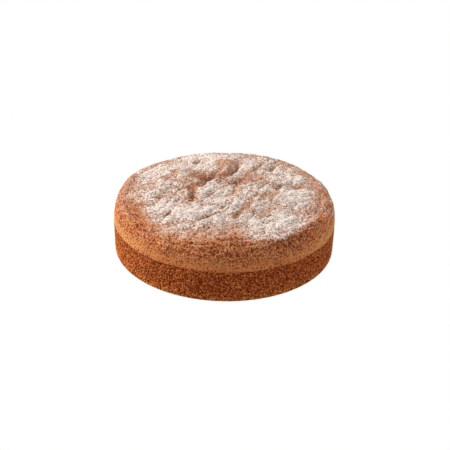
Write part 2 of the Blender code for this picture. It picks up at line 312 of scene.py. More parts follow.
# Grains and crumbs are octahedra that are stretched each way and whose corners stand out unevenly.
OCTAHEDRON_CORNERS = np.array(((1, 0, 0), (-1, 0, 0), (0, 1, 0), (0, -1, 0), (0, 0, 1), (0, 0, -1)), float)
OCTAHEDRON_FACES = np.array(
    ((0, 2, 4), (2, 1, 4), (1, 3, 4), (3, 0, 4), (2, 0, 5), (1, 2, 5), (3, 1, 5), (0, 3, 5))
)
STRETCH = (0.7, 1.3)
CORNER_SHARES = (0.8, 1.2)

# How far corners may reach above a sugar grain's middle, and outside a crumb's, in its half widths.
FARTHEST_CORNER = 1.6
CRUMB_MARGIN = 1.9

# The studio: a white floor just below the cake and two square lamps that aim at the cake's middle.
WHITE = (1.0, 1.0, 1.0, 1.0)
FLOOR_RADIUS = 6.0
FLOOR_GAP = 0.0001
LAMP_COLOUR = (1.0, 0.985, 0.96)
LAMP_SIZE = 0.5
AIM_HEIGHT = 0.04
KEY_DIRECTION, KEY_DISTANCE = (-0.84, 0.14, 0.51), 1.2
BACK_DIRECTION, BACK_DISTANCE = (0.78, 0.50, 0.32), 1.3


def smooth_step(low, high, value):
    """Rise softly from 0 at low to 1 at high."""
    t = np.clip((value - low) / (high - low), 0.0, 1.0)
    return t * t * (3.0 - 2.0 * t)


def mix(low, high, share):
    """Go evenly from low to high as the share goes from 0 to 1."""
    return low + (high - low) * share


def noise_field(places, size, seed, octaves=1):
    """Smooth noise about zero, with lumps of the given size, at each place."""
    points = (places / size + seed).tolist()
    if octaves == 1:
        return np.array([noise.noise(point) for point in points])
    return np.array([noise.fractal(point, 1.0, 2.0, octaves) for point in points])


def pit_field(places, size, reach, share, seed):
    """Depth from 0 to 1 of round pits, one at most to a cell, in a share of the cells."""
    depths = []
    for point in (places / size + seed).tolist():
        distances, centres = noise.voronoi(point)
        chosen = noise.noise(centres[0] * CELL_SPREAD) * 0.5 + 0.5
        depths.append(distances[0] if chosen < share else 1.0)
    return 1.0 - smooth_step(PIT_CORE * reach, reach, np.array(depths))


def crease_path(crease):
    """Points along the parabola through a crease's three places."""
    t = np.linspace(0.0, 1.0, CREASE_POINTS)[:, None]
    near, middle, far = (np.array(place) for place in (crease.near, crease.middle, crease.far))
    return near * (1 - t) * (1 - 2 * t) + middle * 4 * t * (1 - t) + far * t * (2 * t - 1)


def nearest_on_path(path, x, y):
    """Distance from a path, below zero on its left, and share of its length, for each place."""
    start, step = path[:-1], np.diff(path, axis=0)
    away = np.stack((x, y), 1)[:, None, :] - start
    along = np.clip((away * step).sum(2) / (step * step).sum(1), 0.0, 1.0)
    distance = np.linalg.norm(away - along[..., None] * step, axis=2)
    nearest = distance.argmin(axis=1)
    row = np.arange(len(nearest))
    across = step[nearest, 1] * away[row, nearest, 0] - step[nearest, 0] * away[row, nearest, 1]
    side = np.where(across > 0, 1.0, -1.0) * distance[row, nearest]
    return side, (nearest + along[row, nearest]) / len(start)


def crease_field(crease, x, y):
    """Height of the crust near one crease and how deep in it each place lies, from 0 to 1."""
    path = crease_path(crease)
    margin = CREASE_REACH * crease.width
    low, high = path.min(axis=0) - margin, path.max(axis=0) + margin
    close = (x > low[0]) & (x < high[0]) & (y > low[1]) & (y < high[1])
    side, share = nearest_on_path(path, x[close], y[close])
    strength = np.sin(pi * share).clip(0) ** END_FADE
    spread = crease.width * np.where(side > 0, STEEP_SLOPE, 1.0)
    cut = strength * np.exp(-((side / spread) ** 2))
    lip = strength * np.exp(-(((side - crease.width) / (LIP_WIDTH * crease.width)) ** 2))
    height, depth = np.zeros(len(x)), np.zeros(len(x))
    height[close] = crease.lip * lip - crease.depth * cut
    depth[close] = cut
    return height, depth


def oval_shape(oval, x, y):
    """A soft oval that is 1 in its middle."""
    away_x, away_y = x - oval.centre[0], y - oval.centre[1]
    c, s = cos(oval.turn), sin(oval.turn)
    u = (away_x * c + away_y * s) / oval.half_length
    v = (away_y * c - away_x * s) / oval.half_width
    return np.exp(-(u * u + v * v))


def oval_sum(items, x, y):
    """What soft ovals add up to at each place."""
    return sum(item.amount * oval_shape(item, x, y) for item in items)


def hexagon_points(rings):
    """Ring number and angle of each point of a disc that is divided like a hexagon."""
    ring, angle = [np.zeros(1)], [np.zeros(1)]
    for number in range(1, rings + 1):
        count = SECTORS * number
        ring.append(np.full(count, float(number)))
        angle.append(2 * pi * np.arange(count) / count)
    return np.concatenate(ring), np.concatenate(angle)


def hexagon_faces(rings):
    """Triangles of such a disc, seen anticlockwise from above."""
    faces = []
    for ring in range(1, rings + 1):
        count, inner_count = SECTORS * ring, max(SECTORS * (ring - 1), 1)
        outer = 1 + SECTORS * ring * (ring - 1) // 2
        inner = max(outer - inner_count, 0)
        place = np.arange(count)
        sector, step = np.divmod(place, ring)
        first, second = outer + place, outer + (place + 1) % count
        below = inner + (sector * (ring - 1) + step) % inner_count
        beside = inner + (sector * (ring - 1) + step + 1) % inner_count
        faces.append(np.stack((below, first, second), 1))
        faces.append(np.stack((below, second, beside), 1)[step < ring - 1])
    return np.concatenate(faces)


def outer_ring(rings):
    """Numbers of the points round the edge of such a disc."""
    start = 1 + SECTORS * rings * (rings - 1) // 2
    return np.arange(start, start + SECTORS * rings)


def turned(profile, run, angle):
    """Places and outward directions on a turned shape, from its profile, distance run and angle."""
    r_points, z_points, run_points = profile
    r, z = np.interp(run, run_points, r_points), np.interp(run, run_points, z_points)
    before, after = run - SLOPE_STEP, run + SLOPE_STEP
    slope_r = np.interp(after, run_points, r_points) - np.interp(before, run_points, r_points)
    slope_z = np.interp(after, run_points, z_points) - np.interp(before, run_points, z_points)
    places = np.stack((r * np.cos(angle), r * np.sin(angle), z), 1)
    outward = np.stack((-slope_z * np.cos(angle), -slope_z * np.sin(angle), slope_r), 1)
    outward /= np.maximum(np.linalg.norm(outward, axis=1), 1e-12)[:, None]
    return places, outward


def with_run(r, z):
    """A profile as radius, height and distance run from its first point."""
    run = np.concatenate(((0.0,), np.cumsum(np.hypot(np.diff(r), np.diff(z)))))
    return r, z, run


def length_property(name, description, default):
    """A setting that is a length."""
    return FloatProperty(name=name, description=description, default=default, unit="LENGTH")


def colour_property(name, description, default):
    """A setting that is a colour, as light that the surface gives back."""
    return FloatVectorProperty(
        name=name, description=description, default=default, subtype="COLOR", min=0.0, max=1.0
    )


class CakeShape(PropertyGroup):
    """Sizes that the whole cake is drawn from."""

    radius: length_property("Radius", "Half the cake's width", CAKE_RADIUS)
    paper_line: length_property("Paper line", "Height where the baking paper ended", 30 * MM)
    shoulder_top: length_property("Shoulder top", "Height of the top's edge", 54 * MM)
    shoulder_width: length_property("Shoulder width", "How far the shoulder rounds in", 12 * MM)
    shoulder_power: FloatProperty(
        name="Shoulder roundness", description="Below 1 for a squarer shoulder", default=0.93
    )
    dome_rise: length_property("Dome rise", "How far the middle stands above the edge", 3.5 * MM)
    foot_rounding: length_property("Foot rounding", "Radius of the edge round the base", 0.7 * MM)
    height_limit: length_property("Height limit", "Nothing stands higher", round(CAKE_HIGH[2], 4))
    crust_rings: IntProperty(
        name="Crust rings", description="Rings of triangles from the middle of the top", default=178
    )
    side_sectors: IntProperty(
        name="Side steps", description="Sixths of the steps round the side", default=192
    )


class CakeColours(PropertyGroup):
    """Colours of the crumb, the crust and the sugar."""

    pale_band: colour_property("Pale band", "Smooth skin above the paper line", (0.78, 0.262, 0.090))
    end_gold: colour_property("Golden skin", "Yellower skin at the ends and on the top", (0.76, 0.36, 0.130))
    golden: colour_property("Golden crust", "Lightly baked crust", (0.64, 0.238, 0.077))
    brown: colour_property("Brown crust", "Well baked crust", (0.59, 0.150, 0.045))
    # The darkest crust is the darkest baking, and also painted shade deep in pits, pinholes and creases.
    dark_crust_and_shade: colour_property("Dark crust", "Crust deep in pits and creases", (0.15, 0.022, 0.005))
    crumb: colour_property("Side crumb", "Brown crumb of the side", (0.49, 0.105, 0.020))
    # Foot crumb orange: partly the crumb's own colour, partly painted bounce light off the floor; towards
    # the back and the left it is painted lamp light.
    toasted_and_lit: colour_property("Foot crumb", "Orange crumb round the foot", (0.74, 0.235, 0.045))
    # Painted shade deep in the crumb's pores.
    pore_shade: colour_property("Pore", "Depth of the crumb's pores", (0.14, 0.008, 0.001))
    # Painted highlight on torn edges of the crumb.
    crumb_fleck_highlight: colour_property("Light flecks", "Torn edges that catch the light", (0.74, 0.26, 0.095))
    # Painted shade in the crust's fine hollows.
    fleck_shade: colour_property("Dark flecks", "Fine hollows between the crumbs", (0.26, 0.050, 0.013))
    # Painted highlight on the crust's raised grains.
    crust_fleck_highlight: colour_property("Light crust flecks", "Raised grains of the crust", (0.80, 0.38, 0.170))
    dusty_straw: colour_property("Straw dust", "Yellower dusty crust", (0.50, 0.33, 0.22))
    dusty_rose: colour_property("Rosy dust", "Redder dusty crust", (0.42, 0.265, 0.215))
    thin_sugar: colour_property("Thin sugar", "Sugar that the crust warms", (0.77, 0.51, 0.37))
    # Crust seen in the gaps between sugar grains: partly its own colour, partly painted shade.
    sugar_gap_shade: colour_property("Specks in the sugar", "Crust between sugar grains", (0.36, 0.200, 0.130))
    sugar: colour_property("Icing sugar", "Icing sugar", (0.97, 0.88, 0.825))


def crust_profile(shape):
    """From the middle of the top over the shoulder to the paper line, where the crust curls under."""
    top_radius, foot = shape.radius - shape.shoulder_width, shape.paper_line + CURL
    dome_r = np.linspace(0.0, top_radius, CURVE_POINTS)
    dome_z = shape.shoulder_top + shape.dome_rise * (1.0 - (dome_r / top_radius) ** 2)
    turn = np.linspace(pi / 2, 0.0, CURVE_POINTS)[1:]
    shoulder_r = top_radius + shape.shoulder_width * np.abs(np.cos(turn)) ** shape.shoulder_power
    shoulder_z = foot + (shape.shoulder_top - foot) * np.abs(np.sin(turn)) ** shape.shoulder_power
    under = np.linspace(0.0, pi / 2, CURVE_POINTS)[1:]
    curl_r = shape.radius - CURL * (1.0 - np.cos(under))
    curl_z = shape.paper_line + CURL * (1.0 - np.sin(under))
    r = np.concatenate((dome_r, shoulder_r, curl_r, (shape.radius - 5 * CURL,)))
    z = np.concatenate((dome_z, shoulder_z, curl_z, (foot,)))
    return with_run(r, z)


def wandering(places, size, reach, seeds):
    """A small shift sideways at each place, which makes creases ragged."""
    return reach * np.stack([noise_field(places, size, seed) for seed in seeds], 1)


def top_relief(places):
    """Creases, puffs and hollows of the top, and how deep in a crease each place lies."""
    wide = wandering(places, size=7 * MM, reach=3 * MM, seeds=(11, 23))
    fine = wandering(places, size=2.6 * MM, reach=1.2 * MM, seeds=(37, 41))
    x, y = (places[:, :2] + wide + fine).T
    height = oval_sum(SWELLINGS, places[:, 0], places[:, 1])
    crease = np.zeros(len(x))
    for item in CREASES:
        lift, cut = crease_field(item, x, y)
        height += CREASE_STRENGTH * lift
        crease = np.maximum(crease, cut * min(item.depth / DARK_CREASE_DEPTH, 1.0))
    return height, crease


def diagonal(places, length, width):
    """Places squeezed so that noise on them runs in streaks across the top."""
    c, s = cos(STREAK_TURN), sin(STREAK_TURN)
    along = (places[:, 0] * c + places[:, 1] * s) / length
    across = (places[:, 1] * c - places[:, 0] * s) / width
    return np.stack((along, across, places[:, 2] / length), 1)


def round_rim(places, length, width):
    """Places squeezed so that noise on them runs in streaks round the rim."""
    angle = np.arctan2(places[:, 1], places[:, 0])
    around = RIM_RADIUS / length
    out = np.hypot(places[:, 0], places[:, 1]) - RIM_SLOPE * places[:, 2]
    return np.stack((around * np.cos(angle), around * np.sin(angle), out / width), 1)


def folds(places, length, width, seed, octaves):
    """Rounded folds with sharp valleys between them, across the top and round the rim."""
    rim = smooth_step(82 * MM, 98 * MM, np.hypot(places[:, 0], places[:, 1]))
    across = np.abs(noise_field(diagonal(places, length, width), 1.0, seed, octaves))
    around = np.abs(noise_field(round_rim(places, length, width), 1.0, seed, octaves))
    return mix(across, around, rim)


def waves(places):
    """Height of diagonal wrinkles on broad low swells."""
    flat = places * np.array((1.0, 1.0, 0.0))
    wrinkle = noise_field(diagonal(flat, 17 * MM, 8.5 * MM), 1.0, seed=0)
    swell = noise_field(flat + np.array((0.0, 0.0, 135 * MM)), 45 * MM, seed=0)
    return WRINKLE_HEIGHT * wrinkle + SWELL_HEIGHT * swell


def broad_lumps(places):
    """Height of the lumps that run over crust and side alike."""
    return BROAD_LUMP_HEIGHT * noise_field(places, 22 * MM, seed=0)


def crust_pits(places, flatness, above_band):
    """Depth from 0 to 1 of the crust's wide pits, small pits and single pores."""
    wide = pit_field(places, size=4.8 * MM, reach=0.42, share=0.45, seed=17)
    small = pit_field(places, size=2.6 * MM, reach=0.52, share=0.42, seed=27)
    pits = np.maximum(wide, 0.8 * small) * mix(BAND_PITS, 1.0, above_band)
    for x, y in PORES:
        away = ((places[:, 0] - x * MM) ** 2 + (places[:, 1] - y * MM) ** 2) / PORE_RADIUS ** 2
        pits = np.maximum(pits, np.exp(-away) * flatness)
    return pits


def crust_relief(shape, places, outward):
    """How far each place of the crust stands out, with its creases, pits and grain."""
    x, y, z = places.T
    flatness = smooth_step(0.05, 0.6, outward[:, 2]) * smooth_step(shape.paper_line, shape.shoulder_top, z)
    above_band = smooth_step(shape.paper_line + 8 * MM, shape.paper_line + 18 * MM, z)
    height, crease = top_relief(places)
    wide = folds(places, length=20 * MM, width=9.5 * MM, seed=5, octaves=1)
    narrow = folds(places, length=8.5 * MM, width=4.5 * MM, seed=9, octaves=2)
    far_rim = smooth_step(86 * MM, 100 * MM, np.hypot(x, y)) * smooth_step(-20 * MM, 50 * MM, y)
    folded = WIDE_FOLD * (wide - MEAN_FOLD) + NARROW_FOLD * (narrow - MEAN_FOLD)
    folded = folded * mix(1.0, FAR_RIM_FOLDS, far_rim) * mix(BAND_FOLDS, 1.0, above_band)
    lumps = noise_field(places, 3.6 * MM, seed=7)
    grain = noise_field(places, 1.7 * MM, seed=13, octaves=2)
    fine = mix(*LUMP_HEIGHTS, above_band) * lumps + mix(*GRAIN_HEIGHTS, above_band) * grain
    pits = crust_pits(places, flatness, above_band)
    relief = flatness * (height + waves(places)) + folded + broad_lumps(places) + fine - PIT_DEPTH * pits
    valley = np.maximum(1.0 - smooth_step(0.0, 0.20, wide), 0.4 - 0.4 * smooth_step(0.0, 0.15, narrow))
    # Valleys between folds count as shallow creases, for lost sugar and painted shade.
    crease = np.maximum(crease * flatness, VALLEY_SHARE * valley * above_band)
    return relief, crease, pits, 0.18 * lumps + grain


def rim_fall(places):
    """How far each place lies out from the sugared middle, from 0 inside it to 1 at the rim."""
    radius, angle = np.hypot(places[:, 0], places[:, 1]), np.arctan2(places[:, 1], places[:, 0])
    front_right = 0.5 + 0.5 * np.cos(angle + radians(45))
    outer = (107 - np.sin(angle) - 4 * front_right ** 4) * MM
    inner = (73 + 17 * np.sin(angle) + 4 * np.cos(angle)) * MM
    ragged = 6 * MM * noise_field(places, 12 * MM, seed=71, octaves=2)
    return ((radius - inner - ragged) / (outer - inner)).clip(0.0, 1.0) ** 1.8


def sugar_cover(places, normals, crease, pits, grain):
    """How thick the sugar lies, where half hides the crust, and how dusty the crust between is."""
    x, y, z = places.T
    back, fall = np.sin(np.arctan2(y, x)), rim_fall(places)
    cover = MEAN_COVER + COVER_UNEVENNESS * noise_field(places, 17 * MM, seed=61, octaves=2)
    cover = cover + 0.04 * smooth_step(20 * MM, 90 * MM, y) + oval_sum(DRIFTS + BARE_SPOTS, x, y)
    haze = mix(BARE_HAZE, 1.0, smooth_step(0.05, 0.55, cover))
    haze = haze * (1.0 - fall * (HAZE_LOSS - BACK_HAZE * back)).clip(0.0)
    cover = cover * (1.0 - CREASE_LOSS * crease) * (1.0 - PIT_LOSS * pits) + GRAIN_GAIN * grain
    cover = cover - (RIM_LOSS - BACK_KEPT * back) * fall
    level = smooth_step(0.05, 0.60, normals[:, 2]) * smooth_step(37 * MM, 47 * MM, z)
    return np.clip(cover * level, 0.0, THICKEST_COVER), haze * level


def browning_and_painted_shade(shape, places, crease, pits):
    """How dark the crust is, from 0 in the pale band to 1 deep in a crease: its baking, with painted shade
    in creases and pits.
    """
    x, y, z = places.T
    skin = shape.paper_line + 9 * MM + 2 * MM * noise_field(places, 12 * MM, seed=81, octaves=2)
    above = smooth_step(skin - 4 * MM, skin + 6 * MM, z)
    shade = MEAN_SHADE + SHADE_UNEVENNESS * noise_field(places, 14 * MM, seed=91, octaves=3)
    # Red spots add darker baking and painted shade in hollows, creases and pits.
    shade = shade - oval_sum(GOLDEN_SPOTS, x, y) + oval_sum(RED_AND_SHADED_SPOTS, x, y)
    # Creases and pits add painted shade to the baked colour.
    return np.clip(above * shade + CREASE_PAINTED_SHADE * crease + PIT_PAINTED_SHADE * pits, 0.0, 1.0)


def golden_share(places, cover):
    """How golden the skin is: at the two ends where no sugar lies, on the top and in golden spots."""
    x, y, z = places.T
    gold = smooth_step(50 * MM, 108 * MM, np.abs(x)) * (1.0 - cover.clip(0.0, 1.0))
    gold = gold + TOP_GOLD * smooth_step(46 * MM, 52 * MM, z) + SPOT_GOLD * oval_sum(GOLDEN_SPOTS, x, y)
    return gold.clip(0.0, 1.0)


def levelled_off(value, limit, soft):
    """A value that bends over, along a soft stretch, to stay below a limit."""
    start = limit - soft
    return np.minimum(value, start + soft * np.tanh((value - start).clip(0.0) / soft))


def kept_inside(shape, places):
    """Places pressed back a little where they would pass the cake's greatest width or height."""
    radius = np.hypot(places[:, 0], places[:, 1])
    factor = levelled_off(radius, shape.radius, SOFT_RIM) / np.maximum(radius, 1e-9)
    height = levelled_off(places[:, 2], shape.height_limit - TOP_CLEARANCE, SOFT_TOP)
    return np.stack((places[:, 0] * factor, places[:, 1] * factor, height), 1)


def build_mesh(name, vertices, faces, corner_uv):
    """A smooth mesh from arrays, with a map for baking."""
    mesh = bpy.data.meshes.new(name)
    mesh.from_pydata(vertices, [], faces)
    mesh.shade_smooth()
    layer = mesh.uv_layers.new(name=UV_MAP)
    layer.uv.foreach_set("vector", np.ascontiguousarray(corner_uv, dtype=np.float32).ravel())
    return mesh


def point_vectors(mesh, name):
    """The place, named co, or the direction, named normal, of each point of a mesh."""
    values = np.empty(len(mesh.vertices) * 3, np.float32)
    mesh.vertices.foreach_get(name, values)
    return values.reshape(-1, 3)


def add_attribute(mesh, name, values):
    """Store one number for each point of a mesh."""
    layer = mesh.attributes.new(name=name, type="FLOAT", domain="POINT")
    layer.data.foreach_set("value", np.ascontiguousarray(values, dtype=np.float32))


def attribute_values(mesh, name):
    """The numbers that are stored for the points of a mesh."""
    values = np.empty(len(mesh.vertices), np.float32)
    mesh.attributes[name].data.foreach_get("value", values)
    return values.astype(float)


def add_piece(name, mesh, material):
    """Link a piece that stands for the cake's node and moves with its body."""
    mesh.materials.append(material)
    piece = bpy.data.objects.new(name, mesh)
    bpy.context.scene.collection.objects.link(piece)
    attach(piece, BODY)
    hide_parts(NODE)


def disc_uv(share, angle, spot):
    """Places on the map for a disc's points, in one spot."""
    u, v, size = spot
    return np.stack((u + size * share * np.cos(angle), v + size * share * np.sin(angle)), 1)


def build_crust(rings, vertices):
    """The crust's mesh: a disc with a hidden face that closes it underneath."""
    ring, angle = hexagon_points(rings)
    faces, edge = hexagon_faces(rings), outer_ring(rings)[::-1]
    point_uv = disc_uv(ring / rings, angle, TOP_SPOT)
    corner_uv = np.concatenate((point_uv[faces.ravel()], disc_uv(1.0, angle[edge], TUCK_SPOT)))
    return build_mesh("top_crust", vertices, faces.tolist() + [edge.tolist()], corner_uv)


def make_crust_mesh(shape):
    """The crust from the middle of the top down to the paper line, with what its material reads."""
    rings = shape.crust_rings
    ring, angle = hexagon_points(rings)
    profile = crust_profile(shape)
    full = profile[2][-1]
    run = np.interp(ring, (0, rings - TUCKED_RINGS, rings), (0.0, full - TUCKED_RUN, full))
    places, outward = turned(profile, run, angle)
    relief, crease, pits, grain = crust_relief(shape, places, outward)
    relief = (relief - CRUST_INSET) * smooth_step(0.0, 2 * MM, full - run)
    vertices = kept_inside(shape, places + outward * relief[:, None])
    mesh = build_crust(rings, vertices)
    cover, haze = sugar_cover(vertices, point_vectors(mesh, "normal"), crease, pits, grain)
    vertices[:, 2] += SUGAR_DEPTH * smooth_step(0.25, 0.75, cover)
    mesh.vertices.foreach_set("co", kept_inside(shape, vertices).astype(np.float32).ravel())
    seam = shape.paper_line + 0.4 * MM + 2.2 * MM * noise_field(places, 3.6 * MM, seed=53, octaves=3)
    add_attribute(mesh, "sugar", cover)
    add_attribute(mesh, "dust", haze)
    # The brown attribute holds the baked colour together with the painted shade of creases and pits.
    add_attribute(mesh, "brown", browning_and_painted_shade(shape, places, crease, pits))
    # The pit attribute also gives painted shade in the crust's pits.
    add_attribute(mesh, "pit", pits)
    add_attribute(mesh, "gold", golden_share(places, cover))
    add_attribute(mesh, "seam", 1.0 - smooth_step(seam - 0.5 * MM, seam + 0.5 * MM, places[:, 2]))
    return mesh


def side_profile(shape):
    """From a tuck inside the crust, down the upright side and round the foot."""
    tuck_r = shape.radius - np.array((4.0, 1.2, 0.2)) * MM
    tuck_z = shape.paper_line + np.array((2.0, 1.0, 0.2)) * MM
    turn = np.linspace(0.0, pi / 2, CURVE_POINTS)
    foot_r = shape.radius - shape.foot_rounding * (1.0 - np.cos(turn))
    foot_z = shape.foot_rounding * (1.0 - np.sin(turn))
    return with_run(np.concatenate((tuck_r, foot_r)), np.concatenate((tuck_z, foot_z)))


def side_texture(shape, places):
    """How far the side's crumb stands out, how deep in a pore each place lies, and its unevenness."""
    z = places[:, 2]
    pores = pit_field(places, size=1.9 * MM, reach=0.60, share=0.66, seed=3)
    specks = pit_field(places, size=1.6 * MM, reach=0.55, share=0.50, seed=29)
    row_of_pores = np.exp(-(((z - shape.paper_line + 1.2 * MM) / (0.9 * MM)) ** 2))
    line = 0.5 * row_of_pores * smooth_step(0.05, 0.25, noise_field(places, 1.7 * MM, seed=51))
    crumb = noise_field(places, 3 * MM, seed=43, octaves=3)
    rough = mix(1.2 * MM, 0.5 * MM, smooth_step(1 * MM, 6 * MM, z))
    sunk = (0.9 * pores + 0.5 * specks + 0.4 * line + 0.1) * MM
    # The pit value also gives painted shade in the pores and specks, and in the row of pores under the
    # crust's edge.
    pit = np.maximum(np.maximum(pores, 0.6 * specks), line)
    return broad_lumps(places) + rough * crumb - sunk, pit, crumb


def base_texture(rings, radius):
    """Points of the base, a little uneven inside its edge, how deep in a pore they lie, and their crumb."""
    ring, angle = hexagon_points(rings)
    out = radius * ring / rings
    base = np.stack((out * np.cos(angle), out * np.sin(angle), np.zeros(len(ring))), 1)
    crumb = noise_field(base, 4.5 * MM, seed=47, octaves=3)
    pores = pit_field(base, size=3.8 * MM, reach=0.40, share=0.55, seed=19)
    inside = smooth_step(0.0, 4 * MM, radius - out)
    base[:, 2] = inside * (0.15 + 0.12 * crumb + 0.6 * pores).clip(0.0) * MM
    return base, pores, crumb


def toast_and_painted_light(places):
    """How orange the side's crumb is: round the foot partly its own colour and partly painted bounce light
    off the floor, and at the back and on the left painted lamp light.
    """
    angle = np.arctan2(places[:, 1], places[:, 0])
    toast_and_light = 1.0 - smooth_step(1 * MM, 8 * MM, places[:, 2])
    # Painted light: lighter, more orange crumb towards the back and the left, where the lamps fall.
    toast_and_light = toast_and_light + BACK_PAINTED_LIGHT * (1.0 + np.sin(angle)) + LEFT_PAINTED_LIGHT * (1.0 - np.cos(angle))
    return toast_and_light.clip(0.0, 1.0)


def side_faces(rings, columns):
    """Faces of the wall, the base and the hidden lid, and places on the map for their corners."""
    start = (SIDE_ROWS + 1) * columns
    last = start - columns
    turn = 2 * pi * np.arange(columns) / columns
    ring, angle = hexagon_points(rings)
    halved = halving_faces(last + np.arange(columns), start + outer_ring(rings))
    base_faces = hexagon_faces(rings)[:, ::-1]
    base_uv = disc_uv(ring / rings, angle, BASE_SPOT)
    edge_uv = disc_uv(WALL_EDGE, turn, BASE_SPOT)
    on_base = (halved >= start)[..., None]
    halved_uv = np.where(on_base, base_uv[(halved - start).clip(0)], edge_uv[(halved - last) % columns])
    wall_uv, lid_uv = wall_corner_uv(SIDE_ROWS, columns), disc_uv(1.0, turn, LID_SPOT)
    corner_uv = np.concatenate((wall_uv, halved_uv.reshape(-1, 2), base_uv[base_faces.ravel()], lid_uv))
    faces = wall_faces(SIDE_ROWS, columns).tolist() + halved.tolist() + (start + base_faces).tolist()
    return faces + [list(range(columns))], corner_uv


def make_side_mesh(shape):
    """The porous lower side with the flat base, closed by a hidden face inside the crust."""
    columns, rings = SECTORS * shape.side_sectors, shape.side_sectors // 2
    profile = side_profile(shape)
    run = np.repeat(np.linspace(0.0, profile[2][-1], SIDE_ROWS + 1), columns)
    turn = np.tile(2 * pi * np.arange(columns) / columns, SIDE_ROWS + 1)
    places, outward = turned(profile, run, turn)
    relief, pit, crumb = side_texture(shape, places)
    upright = smooth_step(0.0, 1.5 * MM, places[:, 2]) * smooth_step(0.0, 2.5 * MM, run)
    wall = kept_inside(shape, places + outward * (relief * upright)[:, None])
    base, base_pit, base_crumb = base_texture(rings, profile[0][-1] - BASE_INSET)
    mesh = build_mesh("crumb_side", np.concatenate((wall, base)), *side_faces(rings, columns))
    # The pit attribute drives painted shade in the crumb's pores.
    add_attribute(mesh, "pit", np.concatenate((pit, base_pit)))
    add_attribute(mesh, "crumb", np.concatenate((crumb, base_crumb)))
    # The foot attribute carries the foot's orange together with painted light from the lamps and the floor.
    add_attribute(mesh, "foot", np.concatenate((toast_and_painted_light(places), np.zeros(len(base)))))
    return mesh


def wall_faces(rows, columns):
    """Squares of a wall that runs all the way round, top row first."""
    row, column = np.divmod(np.arange(rows * columns), columns)
    beside = (column + 1) % columns
    upper, lower = row * columns, (row + 1) * columns
    return np.stack((upper + column, lower + column, lower + beside, upper + beside), 1)


def wall_corner_uv(rows, columns):
    """Places on the map for the wall's corners, cut into strips that lie one above the other."""
    row, column = np.divmod(np.arange(rows * columns), columns)
    strip, place = np.divmod(column, columns // STRIPS)
    left = STRIP_MARGIN + STRIP_LENGTH * place / (columns // STRIPS)
    right = STRIP_MARGIN + STRIP_LENGTH * (place + 1) / (columns // STRIPS)
    floor = STRIP_MARGIN + strip * (STRIP_HEIGHT + STRIP_MARGIN)
    upper = floor + STRIP_HEIGHT * (1.0 - row / rows)
    lower = floor + STRIP_HEIGHT * (1.0 - (row + 1) / rows)
    corners = ((left, upper), (left, lower), (right, lower), (right, upper))
    return np.stack([np.stack(corner, 1) for corner in corners], 1).reshape(-1, 2)


def halving_faces(outer, inner):
    """Triangles between two rings of which the inner has half as many points."""
    count = len(inner)
    place = np.arange(count)
    here, after = inner[place], inner[(place + 1) % count]
    first, middle = outer[2 * place], outer[2 * place + 1]
    last = outer[(2 * place + 2) % len(outer)]
    triangles = ((here, middle, first), (here, after, middle), (after, last, middle))
    return np.concatenate([np.stack(triangle, 1) for triangle in triangles])


